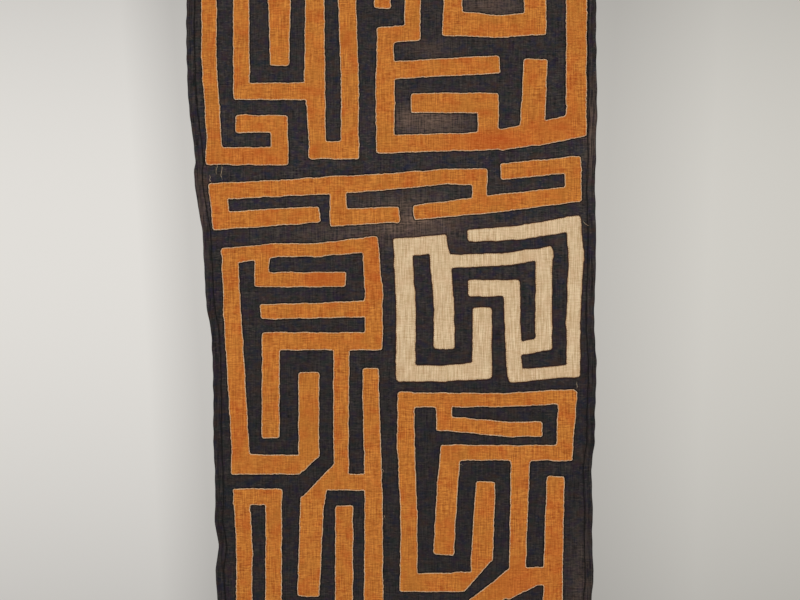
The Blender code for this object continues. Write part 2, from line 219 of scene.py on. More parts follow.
PIECES = {
    "hook_top_left": (HOOK_TOP_LEFT, "orange_raffia"),
    "comb_top_left": (COMB_TOP_LEFT, "orange_raffia"),
    "comb_top_right": (COMB_TOP_RIGHT, "orange_raffia"),
    "cup_top_right": (CUP_TOP_RIGHT, "orange_raffia"),
    "bracket_top_right": (BRACKET_TOP_RIGHT, "orange_raffia"),
    "band_middle": (BAND, "orange_raffia"),
    "maze_left": (MAZE_LEFT, "orange_raffia"),
    "bar_bottom_left": (BAR_BOTTOM_LEFT, "orange_raffia"),
    "arch_bottom_left": (ARCH_BOTTOM_LEFT, "orange_raffia"),
    "maze_cream": (MAZE_CREAM, "cream_raffia"),
    "maze_right": (MAZE_RIGHT, "orange_raffia"),
    "bar_bottom_right": (BAR_BOTTOM_RIGHT, "orange_raffia"),
    "arch_bottom_right": (ARCH_BOTTOM_RIGHT, "orange_raffia"),
}

# Soft creases and puckers, listed in centimetres but for the depth in millimetres.
# A positive depth is a trough, and the slope is in degrees below the horizontal.
CREASES = [
    # across, down, reach, slope, spread, depth
    (-30.0, 53.5, 6.0, 75.0, 1.1, 0.9),
    (-33.0, 64.0, 3.5, 40.0, 1.0, -0.8),
    (2.0, 62.8, 14.0, 3.0, 1.3, 0.8),
    (-12.0, 64.8, 12.0, -4.0, 1.6, -0.6),
    (30.5, 50.2, 4.0, -20.0, 1.0, 0.7),
    (31.0, 92.0, 4.0, 25.0, 1.1, 0.8),
    (-29.5, 107.0, 5.0, -30.0, 1.2, 0.9),
    (17.0, 51.2, 12.0, -6.0, 1.2, 0.6),
    (-1.5, 90.5, 10.0, 88.0, 1.0, 0.7),
    (-18.0, 106.5, 5.0, -35.0, 1.2, 0.8),
    (9.5, 112.0, 9.0, 85.0, 1.3, -0.6),
    (5.5, 45.0, 6.0, 5.0, 1.6, -0.7),
    (-18.0, 24.0, 9.0, 84.0, 1.3, 0.7),
    (19.5, 18.0, 8.0, 95.0, 1.2, 0.7),
    (-31.0, 128.0, 8.0, 80.0, 1.4, 0.9),
    (29.5, 131.0, 8.0, 100.0, 1.3, 0.9),
]

# Where the ground is rubbed brown: across, down, half width, half height, strength
WORN = [
    (1.5, 62.4, 7.5, 3.6, 1.0),
    (4.8, 45.2, 6.5, 2.6, 0.95),
    (32.5, 47.0, 1.2, 7.0, 0.6),
    (-33.8, 60.0, 1.2, 6.0, 0.4),
    (-12.0, 64.7, 8.0, 1.4, 0.3),
    (24.0, 63.0, 5.0, 1.0, 0.3),
    (5.5, 33.5, 4.0, 1.6, 0.3),
    (30.5, 125.0, 2.0, 9.0, 0.3),
    (15.0, 25.4, 6.0, 2.8, 0.6),
]

# Where the orange is redder, and where it is duller: across, down, half width, half height
REDDER = [
    (16.0, 49.0, 6.5, 2.0, 1.0),
    (27.0, 46.5, 4.0, 2.5, 0.5),
    (-13.0, 72.5, 4.5, 1.6, 0.8),
    (-25.0, 51.5, 6.5, 1.8, 0.45),
    (-4.5, 70.0, 1.6, 5.0, 0.5),
    (19.0, 123.5, 5.0, 4.0, 0.5),
    (26.5, 118.0, 2.0, 8.0, 0.35),
    (-27.5, 96.0, 2.0, 8.0, 0.3),
]
DULLER = [
    (-15.0, 100.0, 3.0, 6.0, 0.7),
    (-24.0, 104.0, 6.0, 2.0, 0.5),
    (2.0, 123.0, 3.0, 8.0, 0.4),
    (14.0, 133.0, 4.0, 8.0, 0.6),
    (30.0, 25.0, 2.0, 9.0, 0.35),
]

# Small waves of the whole cloth, and stronger ones beside its hems
SLACK_DEPTH = 0.5 * MM
PUCKER_DEPTH = 0.12 * MM
HEM_PUCKER_DEPTH = 0.35 * MM
HEM_PUCKER_REACH = 2.2 * CM
PUCKER_STRETCH = 0.6

# How a sewn-on piece's outline is cut
CORNER_ROUND = 2.8 * MM
INNER_ROUND = 1.1 * MM
OUTLINE_GRID = 1.5 * MM
OUTLINE_MARGIN = 3.5 * CM
EDGE_BLUR = 1.5 * MM
EDGE_SWAY = 0.35 * MM
EDGE_NICK = 0.22 * MM

# How its points are laid, in rows along the edge and loosely between them
RIM_STEP = 2.5 * MM
RIM_INSETS = (0.5 * MM, 1.3 * MM, 2.8 * MM)
ROW_OFF = 0.15 * MM
ROW_APART = 0.7 * MM
FIELD_STEP = 6.0 * MM
FIELD_INSET = 5.0 * MM
FIELD_JITTER = 0.8 * MM
POINTS_APART = 0.45 * MM

# How it stands in front of the ground
RIM_HEIGHT = 0.55 * MM
FLAT_HEIGHT = 1.05 * MM
RIM_ROLL = 0.8 * MM
CROWN_HEIGHT = 0.45 * MM
CROWN_REACH = 7.0 * MM
BULGE_OUT = 0.25 * MM
BULGE_HEIGHT = 0.28 * MM
BACK_HEIGHT = -0.05 * MM

# Overcast stitches: wider apart and finer round the cream piece than round the orange ones
STITCH_PITCH = {"orange_raffia": 2.2 * MM, "cream_raffia": 2.2 * MM * 1.6}
STITCH_HALF = {"orange_raffia": 0.5 * MM, "cream_raffia": 0.5 * MM * 0.7}
STITCH_SWAY = 0.35 * MM
# A stitch's stops: out from the edge, along it, and height. Its end lies in the piece.
STITCH_STOPS = [
    (0.7 * MM, -0.9 * MM, -0.2 * MM),
    (0.2 * MM, -0.4 * MM, 0.68 * MM),
    (-0.8 * MM, 0.4 * MM, 1.08 * MM),
]
STITCH_END = (-1.5 * MM, 1.1 * MM, 0.7 * MM)

# Their ends on the cloth's back: along the edge, and height in front of its back, in millimetres
BACK_PITCH = 4.4 * MM
BACK_INSET = 0.6 * MM
BACK_HALF = 0.42 * MM
BACK_STOPS = [(-1.3, 0.3), (-0.6, -0.25), (0.6, -0.25), (1.3, 0.3)]
BACK_SLANT = 0.45
BACK_SWAY = 0.15

# The dark line round each piece: a thread cord, which also stands in as painted shadow along each
# piece's edge
CORD_OUT = 1.1 * MM
CORD_HALF = 1.0 * MM
CORD_RISE = 0.4 * MM
CORD_HEIGHT = 0.1 * MM

# The ground's hems: places near an edge, in millimetres, where its points lie
HEM_PLACES = [0.0, 0.5, 1.3, 3.0, 6.0, 9.5, 12.0, 13.0, 13.7, 14.4, 15.2, 16.5, 20.0]
GROUND_STEP = 5.5 * MM
SIDE_SCALLOP = 0.35 * MM
END_SCALLOP = 0.9 * MM
END_REACH = 2 * CM
LEAST_THICK = 0.45 * MM

# Running stitches of the hems, their length and heights in millimetres
DASH_LENGTH = (3.2, 4.6)
DASH_GAP = 0.9 * MM
DASH_HALF = 0.6 * MM
DASH_FRONT = [-1.0, -0.05, -0.05, -1.0]
DASH_BACK = [0.3, -0.2, -0.2, 0.3]

# Loose threads, their heights in millimetres
LOOSE_HALF = 0.22 * MM
LOOSE_HEIGHTS = [0.5, 0.9, 0.8, 0.2]

# Camera: how much of the cloth's plane it sees across, and how far down its middle is
SEEN_ACROSS = 1.36
SEEN_MIDDLE = 0.76
LENS = 85.0
SENSOR = 36.0


def column_of(table, column):
    rows = np.array(table) * CM
    return lambda down: np.interp(down, rows[:, 0], rows[:, column])


side_left = column_of(SIDES, 1)
side_right = column_of(SIDES, 2)
curl_left = column_of(CURLS, 1)
curl_right = column_of(CURLS, 2)


def bell(offset):
    return np.exp(-offset * offset)


def ripples(seed, count, shortest, longest):
    """An uneven field of about unit size, as a sum of waves of all directions."""
    draw = random.Random(seed)
    waves = []
    for _ in range(count):
        turn = draw.uniform(0.0, math.pi)
        rate = 2.0 * math.pi / draw.uniform(shortest, longest)
        waves.append((rate * math.cos(turn), rate * math.sin(turn), draw.uniform(0.0, 6.28)))

    def field(across, down):
        total = np.zeros(np.shape(across))
        for run, fall, phase in waves:
            total = total + np.sin(run * across + fall * down + phase)
        return total / math.sqrt(count / 2.0)

    return field


slack = ripples(3, 9, 7.0 * CM, 16.0 * CM)
pucker = ripples(5, 12, 2.2 * CM, 5.0 * CM)
cut_sway = ripples(7, 10, 2.4 * CM, 6.0 * CM)
cut_nick = ripples(8, 12, 0.7 * CM, 1.4 * CM)
scallop_left = ripples(11, 6, 1.6 * CM, 4.5 * CM)
scallop_right = ripples(12, 6, 1.6 * CM, 4.5 * CM)


def depth_at(across, down):
    """How far the middle of the cloth lies behind the plane y = 0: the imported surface, with
    the slack, creases and puckers that it leaves out."""
    share = down / LENGTH
    depth = BOW_DEPTH * np.sin(math.pi * share) ** 2
    for place, lean, spread, top, bottom in FLUTES:
        away = (across - (place + lean * share) * CM) / (spread * CM)
        depth = depth + (top + (bottom - top) * share) * CM * bell(away)
    left = across - side_left(down)
    right = side_right(down) - across
    depth = depth + curl_left(down) * bell(left / CURL_SPREAD)
    depth = depth + curl_right(down) * bell(right / CURL_SPREAD)
    for place, height, reach, slope, spread, deep in CREASES:
        turn = math.radians(slope)
        off_across, off_down = across - place * CM, down - height * CM
        along = (off_across * math.cos(turn) + off_down * math.sin(turn)) / (reach * CM)
        off = (off_down * math.cos(turn) - off_across * math.sin(turn)) / (spread * CM)
        depth = depth + deep * MM * bell(along) * bell(off)
    hem = bell(np.minimum(left, right) / HEM_PUCKER_REACH)
    depth = depth + SLACK_DEPTH * slack(across, down)
    pucker_depth = PUCKER_DEPTH + HEM_PUCKER_DEPTH * hem
    return depth + pucker_depth * pucker(across * PUCKER_STRETCH, down)


def smooth_union(one, other):
    share = np.clip(0.5 + 0.5 * (other - one) / INNER_ROUND, 0.0, 1.0)
    return other + (one - other) * share - INNER_ROUND * share * (1.0 - share)


def bars_distance(strokes, places):
    """Signed distance from flat places to the edge of a piece's bars, below zero inside."""
    total = None
    for points in strokes:
        for start, end in zip(points, points[1:]):
            first = np.array(start[:2]) * CM
            along = np.array(end[:2]) * CM - first
            run = math.hypot(*along)
            along = along / run
            half_start, half_end = start[2] * CM / 2, end[2] * CM / 2
            away = places - first
            u = away[..., 0] * along[0] + away[..., 1] * along[1]
            v = away[..., 1] * along[0] - away[..., 0] * along[1]
            whole = run + half_start + half_end
            share = np.clip((u + half_start) / whole, 0.0, 1.0)
            half = half_start + share * (half_end - half_start)
            qu = np.abs(u - (run + half_end - half_start) / 2) - whole / 2 + CORNER_ROUND
            qv = np.abs(v) - half + CORNER_ROUND
            outside = np.hypot(np.maximum(qu, 0.0), np.maximum(qv, 0.0))
            distance = outside + np.minimum(np.maximum(qu, qv), 0.0) - CORNER_ROUND
            total = distance if total is None else smooth_union(total, distance)
    return total


def softened(value):
    """A gridded value blurred along both axes."""
    reach = math.ceil(2.5 * EDGE_BLUR / OUTLINE_GRID)
    offsets = np.arange(-reach, reach + 1)
    weights = bell(offsets * OUTLINE_GRID / (EDGE_BLUR * math.sqrt(2.0)))
    weights = weights / weights.sum()
    for axis in (0, 1):
        sides = [(reach, reach) if k == axis else (0, 0) for k in (0, 1)]
        wide = np.pad(value, sides, mode="edge")
        length = value.shape[axis]
        value = sum(w * wide.take(range(i, i + length), axis=axis) for i, w in enumerate(weights))
    return value


class Outline:
    """The hand-cut edge of one piece, as a smooth signed distance over a fine grid."""

    def __init__(self, strokes):
        ends = np.array([p[:2] for points in strokes for p in points]) * CM
        self.low = ends.min(axis=0) - OUTLINE_MARGIN
        high = ends.max(axis=0) + OUTLINE_MARGIN
        xs = np.arange(self.low[0], high[0], OUTLINE_GRID)
        ys = np.arange(self.low[1], high[1], OUTLINE_GRID)
        self.grid = np.stack(np.meshgrid(xs, ys), axis=-1)
        sway = EDGE_SWAY * cut_sway(self.grid[..., 0], self.grid[..., 1])
        nick = EDGE_NICK * cut_nick(self.grid[..., 0], self.grid[..., 1])
        self.value = softened(bars_distance(strokes, self.grid)) + sway + nick

    def distance(self, places):
        at = (places - self.low) / OUTLINE_GRID
        rows, columns = self.value.shape
        at = np.clip(at, 1.0, np.array([columns, rows]) - 2.001)
        cell = np.floor(at).astype(int)
        f = at - cell
        # Catmull-Rom weights of the four grid places along each axis
        weights = [
            (-f + 2 * f**2 - f**3) / 2,
            (2 - 5 * f**2 + 3 * f**3) / 2,
            (f + 4 * f**2 - 3 * f**3) / 2,
            (f**3 - f**2) / 2,
        ]
        total = 0.0
        for i, across in enumerate(weights):
            for j, down in enumerate(weights):
                near = self.value[cell[..., 1] + j - 1, cell[..., 0] + i - 1]
                total = total + across[..., 0] * down[..., 1] * near
        return total

    def outward(self, places):
        """The unit direction out of the piece at flat places."""
        step = 0.5 * MM
        shifts = [np.array(s) * step for s in ((1, 0), (-1, 0), (0, 1), (0, -1))]
        values = [self.distance(places + shift) for shift in shifts]
        slope = np.stack([values[0] - values[1], values[2] - values[3]], axis=-1)
        return slope / np.maximum(np.linalg.norm(slope, axis=-1, keepdims=True), 1e-9)

    def settle(self, places, level=0.0):
        """Moves flat places on to the line where the distance is level."""
        for _ in range(3):
            off = self.distance(places) - level
            places = places - self.outward(places) * off[..., None]
        return places

    def loops(self):
        """The closed edges of the piece, evenly stepped, as arrays of flat places."""
        value, grid = self.value, self.grid
        inside = value < 0.0
        corners = inside[:-1, :-1].astype(int) + inside[1:, :-1] + inside[:-1, 1:] + inside[1:, 1:]
        links = {}
        for r, c in np.argwhere((corners > 0) & (corners < 4)):
            # The cell's edges in turn: top, right, bottom, left
            edges = [(r, c, 0), (r, c + 1, 1), (r + 1, c, 0), (r, c, 1)]
            turns = [inside[r, c], inside[r, c + 1], inside[r + 1, c + 1], inside[r + 1, c]]
            crossed = [e for e, a, b in zip(edges, turns, turns[1:] + turns[:1]) if a != b]
            if len(crossed) == 4 and (value[r : r + 2, c : c + 2].mean() < 0.0) == turns[0]:
                crossed = crossed[1:] + crossed[:1]
            for one, other in zip(crossed[::2], crossed[1::2]):
                links.setdefault(one, []).append(other)
                links.setdefault(other, []).append(one)
        found = []
        while links:
            start = here = next(iter(links))
            path = []
            while here in links:
                path.append(here)
                onward = [n for n in links.pop(here) if n in links]
                here = onward[0] if onward else start
            places = []
            for r, c, falling in path:
                a, b = value[r, c], value[r + falling, c + 1 - falling]
                share = a / (a - b)
                near, far = grid[r, c], grid[r + falling, c + 1 - falling]
                places.append(near + (far - near) * share)
            loop = even_steps(np.array(places), RIM_STEP)
            found.append(self.settle(even_steps(self.settle(loop), RIM_STEP)))
        return found


def even_steps(loop, step):
    """A closed line of flat places, taken again at even steps."""
    closed = np.vstack([loop, loop[:1]])
    lengths = np.linalg.norm(np.diff(closed, axis=0), axis=1)
    along = np.concatenate([[0.0], np.cumsum(lengths)])
    count = max(8, round(along[-1] / step))
    at = np.linspace(0.0, along[-1], count, endpoint=False)
    return np.stack([np.interp(at, along, closed[:, k]) for k in (0, 1)], axis=-1)


def within(places, loops):
    """True for the flat places that lie inside closed outlines, holes left out."""
    found = np.zeros(len(places), bool)
    for first in range(0, len(places), 1500):
        x = places[first : first + 1500, 0][:, None]
        y = places[first : first + 1500, 1][:, None]
        for loop in loops:
            a, b = loop, np.roll(loop, -1, axis=0)
            spans = (a[:, 1] > y) != (b[:, 1] > y)
            rise = np.where(b[:, 1] == a[:, 1], 1e-12, b[:, 1] - a[:, 1])
            reach = a[:, 0] + (y - a[:, 1]) * (b[:, 0] - a[:, 0]) / rise
            found[first : first + 1500] ^= (np.sum(spans & (x < reach), axis=1) % 2).astype(bool)
    return found


def filled(places, loops):
    """Triangles over flat places whose first rows are the loops, kept to what these enclose."""
    edges = []
    first = 0
    for loop in loops:
        count = len(loop)
        edges += [(first + i, first + (i + 1) % count) for i in range(count)]
        first += count
    flat = [Vector(place) for place in places * 1000.0]
    result = delaunay_2d_cdt(flat, edges, [], 0, 1e-5)
    if len(result[0]) != len(places):
        raise ValueError(f"an outline crosses itself: {len(places)} places became {len(result[0])}")
    source = [origins[0] for origins in result[3]]
    faces = np.array([[source[v] for v in face] for face in result[2]])
    return faces[within(places[faces].mean(axis=1), loops)]


def facing(places, faces):
    """The triangles with their normals towards the viewer."""
    a, b, c = (places[faces[:, k]] for k in range(3))
    turn = (b[:, 0] - a[:, 0]) * (c[:, 1] - a[:, 1]) - (b[:, 1] - a[:, 1]) * (c[:, 0] - a[:, 0])
    faces = faces.copy()
    faces[turn > 0] = faces[turn > 0][:, ::-1]
    return faces


def hung(places, height):
    """Flat places as points in space, height in front of the ground's face."""
    across, down = places[:, 0], places[:, 1]
    forward = depth_at(across, down) - CLOTH_THICK / 2 - height
    return np.stack([across, forward, -down], axis=-1)


def profile(inset):
    """How high a sewn-on piece stands, at a distance in from its edge."""
    inset = np.maximum(inset, 0.0)
    rolled = (FLAT_HEIGHT - RIM_HEIGHT) * (1.0 - np.exp(-inset / RIM_ROLL))
    return RIM_HEIGHT + rolled + CROWN_HEIGHT * (1.0 - bell(inset / CROWN_REACH))


def blobs(table, places):
    """The strength of a table of soft patches at flat places, from 0 to 1."""
    total = np.zeros(len(places))
    for across, down, wide, high, strength in table:
        away = ((places[:, 0] - across * CM) / (wide * CM)) ** 2
        away = away + ((places[:, 1] - down * CM) / (high * CM)) ** 2
        total += strength * np.exp(-away)
    return np.minimum(total, 1.0)


def add_object(name, points, faces, material, slot, tone=None):
    """A new piece from arrays. tone is up to three values a point, for its material to read."""
    mesh = bpy.data.meshes.new(name)
    mesh.from_pydata([tuple(p) for p in points], [], [tuple(map(int, f)) for f in faces])
    mesh.polygons.foreach_set("use_smooth", [True] * len(mesh.polygons))
    if tone is not None:
        layer = mesh.color_attributes.new("tone", "FLOAT_COLOR", "POINT")
        values = np.ones((len(points), 4), np.float32)
        values[:, : tone.shape[1]] = tone
        layer.data.foreach_set("color", values.ravel())
    mesh.materials.append(material)
    mesh.validate()
    obj = bpy.data.objects.new(name, mesh)
    bpy.context.scene.collection.objects.link(obj)
    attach(obj, "root")
    return obj


def tubes(paths, halves, rises):
    """Many threads at once, each a spindle along one path. paths is count x stops x 3, with
    both end stops as tips, and halves and rises are its half width and rise at the inner stops."""
    count, stops = paths.shape[:2]
    run = paths[:, 2:] - paths[:, :-2]
    side = np.stack([-run[..., 2], np.zeros(run.shape[:2]), run[..., 0]], axis=-1)
    side = side / np.maximum(np.linalg.norm(side, axis=-1, keepdims=True), 1e-9)
    rise = np.array([0.0, -1.0, 0.0])
    middle = paths[:, 1:-1]
    halves = np.asarray(halves)[..., None]
    rises = np.asarray(rises)[..., None]
    wide, high = side * halves, rise * rises
    ring = np.stack([middle + wide, middle + high, middle - wide, middle - high * 0.6], axis=2)
    points = np.concatenate([paths[:, :1], ring.reshape(count, -1, 3), paths[:, -1:]], axis=1)
    each = points.shape[1]
    faces = []
    for k in range(4):
        faces.append((0, 1 + k, 1 + (k + 1) % 4))
        last = each - 5
        faces.append((each - 1, last + (k + 1) % 4, last + k))
    quads = []
    for s in range(stops - 3):
        for k in range(4):
            a, b = 1 + 4 * s + k, 1 + 4 * s + (k + 1) % 4
            quads.append((a, a + 4, b + 4, b))
    whole = []
    for pattern in (faces, quads):
        block = np.array(pattern)[None] + (np.arange(count) * each)[:, None, None]
        whole += block.reshape(-1, len(pattern[0])).tolist()
    return points.reshape(-1, 3), whole


def cord_round(points, half, rise):
    """A closed thread through points, four-sided."""
    run = np.roll(points, -1, axis=0) - np.roll(points, 1, axis=0)
    side = np.stack([-run[:, 2], np.zeros(len(run)), run[:, 0]], axis=-1)
    side = side / np.maximum(np.linalg.norm(side, axis=-1, keepdims=True), 1e-9)
    up = np.array([0.0, -rise, 0.0])
    ring = np.stack([points + side * half, points + up, points - side * half, points - up], axis=1)
    count = len(points)
    faces = []
    for i in range(count):
        j = (i + 1) % count
        for k in range(4):
            m = (k + 1) % 4
            faces.append((4 * i + k, 4 * j + k, 4 * j + m, 4 * i + m))
    return ring.reshape(-1, 3), faces


def gathered(parts):
    """Several (points, faces) as one."""
    points, faces, first = [], [], 0
    for some_points, some_faces in parts:
        points.append(some_points)
        faces += [tuple(v + first for v in face) for face in some_faces]
        first += len(some_points)
    return np.vstack(points), faces


# Materials


class Graph:
    """Short ways to add the nodes of one material or world."""

    def __init__(self, tree, coordinate):
        self.tree = tree
        self.place = tree.nodes.new("ShaderNodeTexCoord").outputs[coordinate]

    def put(self, socket, value):
        if isinstance(value, bpy.types.NodeSocket):
            self.tree.links.new(value, socket)
        else:
            socket.default_value = value

    def node(self, kind, inputs, **settings):
        """A new node with its settings and its inputs, which are keyed by name or number."""
        node = self.tree.nodes.new(kind)
        for setting, value in settings.items():
            setattr(node, setting, value)
        for key, value in inputs.items():
            self.put(node.inputs[key], value)
        return node

    def maths(self, operation, *values):
        return self.node("ShaderNodeMath", dict(enumerate(values)), operation=operation).outputs[0]

    def times(self, a, b):
        return self.maths("MULTIPLY", a, b)

    def split(self, value):
        return self.node("ShaderNodeSeparateXYZ", {0: value}).outputs

    def noise(self, scale, detail=2.0, rough=0.5):
        """Noise whose scale is per metre along each axis."""
        inputs = {0: self.place, 1: scale}
        place = self.node("ShaderNodeVectorMath", inputs, operation="MULTIPLY").outputs[0]
        inputs = {"Vector": place, "Scale": 1.0, "Detail": detail, "Roughness": rough}
        return self.node("ShaderNodeTexNoise", inputs).outputs["Fac"]

    def spread(self, value, low, high, to_low=0.0, to_high=1.0):
        """The value's range low to high stretched to another range, and held to it."""
        inputs = dict(enumerate((value, low, high, to_low, to_high)))
        return self.node("ShaderNodeMapRange", inputs, clamp=True).outputs[0]

    def patches(self, scale, low, high, detail=3.0, rough=0.6):
        """Soft patches of noise, from 0 at its value low to 1 at its value high."""
        return self.spread(self.noise(scale, detail, rough), low, high)

    def mix(self, share, one, other, blend="MIX"):
        """A share of the way from one colour to the other."""
        inputs = {0: share, 6: one, 7: other}
        return self.node("ShaderNodeMix", inputs, data_type="RGBA", blend_type=blend).outputs[2]

    def tinted(self, shade, layers):
        """The shade under layers of (where, how strongly, which colour), the last on top."""
        for where, strength, colour_there in layers:
            shade = self.mix(self.times(where, strength), shade, colour_there)
        return shade

    def blend(self, one, other, share):
        """A share of the way from one value to the other."""
        return self.node("ShaderNodeMix", {0: share, 2: one, 3: other}).outputs[0]


class MaterialGraph(Graph):
    """The nodes of one new material."""

    def __init__(self, name):
        self.material = bpy.data.materials.new(name)
        self.material.use_nodes = True
        super().__init__(self.material.node_tree, "Object")
        self.shader = self.tree.nodes["Principled BSDF"]

    def tone(self):
        """The three values that each point of the piece carries."""
        read = self.node("ShaderNodeAttribute", {}, attribute_name="tone")
        return self.node("ShaderNodeSeparateColor", {0: read.outputs["Color"]}).outputs

    def finish(self, shade, rough, height, bump, depth, specular, sheen=0.0, sheen_rough=0.5):
        inputs = {"Strength": bump, "Distance": depth, "Height": height}
        self.put(self.shader.inputs["Normal"], self.node("ShaderNodeBump", inputs).outputs[0])
        self.put(self.shader.inputs["Base Color"], shade)
        self.put(self.shader.inputs["Roughness"], rough)
        self.put(self.shader.inputs["Specular IOR Level"], specular)
        self.put(self.shader.inputs["Sheen Weight"], sheen)
        self.put(self.shader.inputs["Sheen Roughness"], sheen_rough)
        return self.material


def weave(graph, warp_pitch, weft_pitch):
    """The height of a plain weave whose threads lie at a slightly uneven pitch."""
    x, _, z = graph.split(graph.place)
    bend = graph.maths("SUBTRACT", graph.noise((70.0, 70.0, 70.0)), 0.5)
    sway = graph.times(bend, 2.2 * MM)
    u = graph.times(graph.maths("ADD", x, sway), math.pi / warp_pitch)
    v = graph.times(graph.maths("SUBTRACT", z, sway), math.pi / weft_pitch)
    su, sv = graph.maths("SINE", u), graph.maths("SINE", v)
    au, av = graph.maths("ABSOLUTE", su), graph.maths("ABSOLUTE", sv)
    warp_on_top = graph.maths("GREATER_THAN", graph.times(su, sv), 0.0)
    warp = graph.times(au, graph.maths("POWER", av, 0.35))
    weft = graph.times(av, graph.maths("POWER", au, 0.35))
    return graph.maths("ADD", weft, graph.times(graph.maths("SUBTRACT", warp, weft), warp_on_top))


def streaks(graph):
    """Thick and thin threads, each from 0 to 1: across the cloth, and down it."""
    across = graph.patches((34.0, 34.0, 520.0), 0.36, 0.64, 1.5)
    dashes = graph.patches((150.0, 150.0, 640.0), 0.36, 0.64, 1.0, 0.5)
    down = graph.patches((520.0, 34.0, 30.0), 0.36, 0.64, 1.5)
    return graph.blend(across, dashes, 0.5), down


def bundles(graph, across_pitch, down_pitch):
    """Uneven ribs where several threads lie close, strong in some places and absent in others."""
    x, _, z = graph.split(graph.place)
    bend = graph.maths("SUBTRACT", graph.noise((45.0, 45.0, 45.0)), 0.5)
    bend = graph.times(bend, 9 * MM)
    across = graph.times(graph.maths("ADD", z, bend), 2 * math.pi / across_pitch)
    down = graph.times(graph.maths("ADD", x, bend), 2 * math.pi / down_pitch)
    ribs = graph.blend(graph.maths("SINE", across), graph.maths("SINE", down), 0.5)
    return graph.times(ribs, graph.patches((16.0, 16.0, 16.0), 0.42, 0.62, 2.0, 0.5))


def colour(red, green, blue):
    """A colour seen on screen, from 0 to 255, as the shader's own light values."""
    return tuple(((c / 255 + 0.055) / 1.055) ** 2.4 for c in (red, green, blue)) + (1.0,)


def applique_material(name, lean, uneven, pale, body, deep, red, dull, rim):
    """Dyed raffia: lean is the share of threads that run down, uneven how patchy the dye is."""
    graph = MaterialGraph(name)
    height = weave(graph, 1.25 * MM, 1.15 * MM)
    across, down = streaks(graph)
    redness, dullness, inset = graph.tone()
    thread = graph.blend(across, down, lean)
    thread = graph.maths("MULTIPLY_ADD", bundles(graph, 4.6 * MM, 4.1 * MM), 0.13, thread)
    clouds = graph.patches((26.0, 26.0, 20.0), 0.35, 0.68, 4.0)
    faded = graph.patches((21.0, 21.0, 17.0), 0.46, 0.66)
    blotches = graph.patches((30.0, 30.0, 38.0), 0.46, 0.7)
    slubs = graph.patches((150.0, 60.0, 480.0), 0.62, 0.7, 1.0, 0.5)
    shade = graph.tinted(
        graph.mix(graph.spread(thread, 0.12, 0.88), deep, pale),
        [
            (clouds, 0.22, body),
            (faded, 0.45 * uneven, dull),
            (blotches, 0.45 * uneven, red),
            (redness, 0.6, red),
            (dullness, 0.5, dull),
            (slubs, 0.45 * uneven, pale),
        ],
    )
    # Painted shade in the pits between threads
    painted_pit_shade = graph.spread(height, 0.0, 0.55, 0.62, 1.0)
    shade = graph.mix(1.0, shade, painted_pit_shade, "MULTIPLY")
    edging = graph.spread(graph.noise((120.0, 120.0, 120.0)), 0.38, 0.62, 0.1, 0.7)
    shade = graph.tinted(shade, [(graph.spread(inset, 0.01, 0.12, 1.0, 0.0), edging, rim)])
    rough = graph.spread(thread, 0.0, 1.0, 0.8, 0.62)
    bumps = graph.maths("ADD", height, graph.times(thread, 1.6))
    return graph.finish(shade, rough, bumps, 0.55, 0.5 * MM, 0.22, 0.06, 0.4)


def ground_material():
    """Charcoal raffia with tinted patches and rubbed brown where worn, with painted shade along its
    hem creases and towards its bottom.
    """
    graph = MaterialGraph("charcoal_weave")
    height = weave(graph, 1.3 * MM, 1.2 * MM)
    across, down = streaks(graph)
    worn, painted_crease_shade, hem = graph.tone()
    thread = graph.blend(across, down, graph.maths("MULTIPLY_ADD", hem, 0.3, 0.38))
    thread = graph.maths("MULTIPLY_ADD", bundles(graph, 4.9 * MM, 5.3 * MM), 0.13, thread)
    specks = graph.patches((140.0, 60.0, 460.0), 0.62, 0.7, 1.0, 0.5)
    shade = graph.tinted(
        graph.mix(graph.spread(thread, 0.12, 0.9), colour(14, 13, 17), colour(84, 77, 74)),
        [
            (graph.patches((60.0, 60.0, 80.0), 0.5, 0.68), 0.7, colour(24, 34, 66)),
            (graph.patches((41.0, 70.0, 75.0), 0.5, 0.68), 0.65, colour(80, 56, 44)),
            (graph.patches((72.0, 55.0, 66.0), 0.5, 0.68), 0.6, colour(54, 32, 62)),
            (graph.patches((52.0, 64.0, 88.0), 0.5, 0.68), 0.5, colour(26, 52, 46)),
            (specks, 0.4, colour(112, 100, 94)),
        ],
    )
    # Painted shade, where less light falls: darkest at the bottom, and a little darker at the top
    # than at mid-height
    height_up = graph.split(graph.place)[2]
    low = graph.spread(height_up, -0.5, -0.95, 0.22, 0.52)
    high = graph.spread(height_up, -0.6, -0.35, 0.0, 0.14)
    shade = graph.mix(graph.maths("ADD", low, high), shade, colour(16, 13, 17))
    rubbed = graph.spread(thread, 0.15, 0.85)
    rubbed = graph.mix(rubbed, colour(58, 47, 42), colour(132, 108, 94))
    patchy = graph.spread(graph.noise((30.0, 30.0, 60.0), 3.0, 0.6), 0.3, 0.6, 0.6, 1.0)
    shade = graph.tinted(shade, [(worn, patchy, rubbed)])
    # Painted shade in the pits between threads
    painted_pit_shade = graph.spread(height, 0.0, 0.55, 0.6, 1.0)
    shade = graph.mix(1.0, shade, painted_pit_shade, "MULTIPLY")
    # Painted shade along the hem creases and edges
    shade = graph.tinted(shade, [(painted_crease_shade, 0.92, colour(6, 5, 7))])
    rough = graph.spread(thread, 0.0, 1.0, 0.88, 0.7)
    bumps = graph.maths("ADD", height, graph.times(thread, 1.8))
    return graph.finish(shade, rough, bumps, 0.6, 0.5 * MM, 0.18, 0.02, 0.5)


def thread_material(name, dark, light, specular=0.35):
    graph = MaterialGraph(name)
    fibre = graph.noise((900.0, 900.0, 900.0), 2.0, 0.6)
    length = graph.noise((55.0, 55.0, 55.0), 3.0, 0.6)
    shade = graph.mix(graph.spread(graph.blend(fibre, length, 0.5), 0.36, 0.62), dark, light)
    rough = graph.spread(fibre, 0.3, 0.7, 0.7, 0.5)
    return graph.finish(shade, rough, fibre, 0.4, 0.2 * MM, specular)


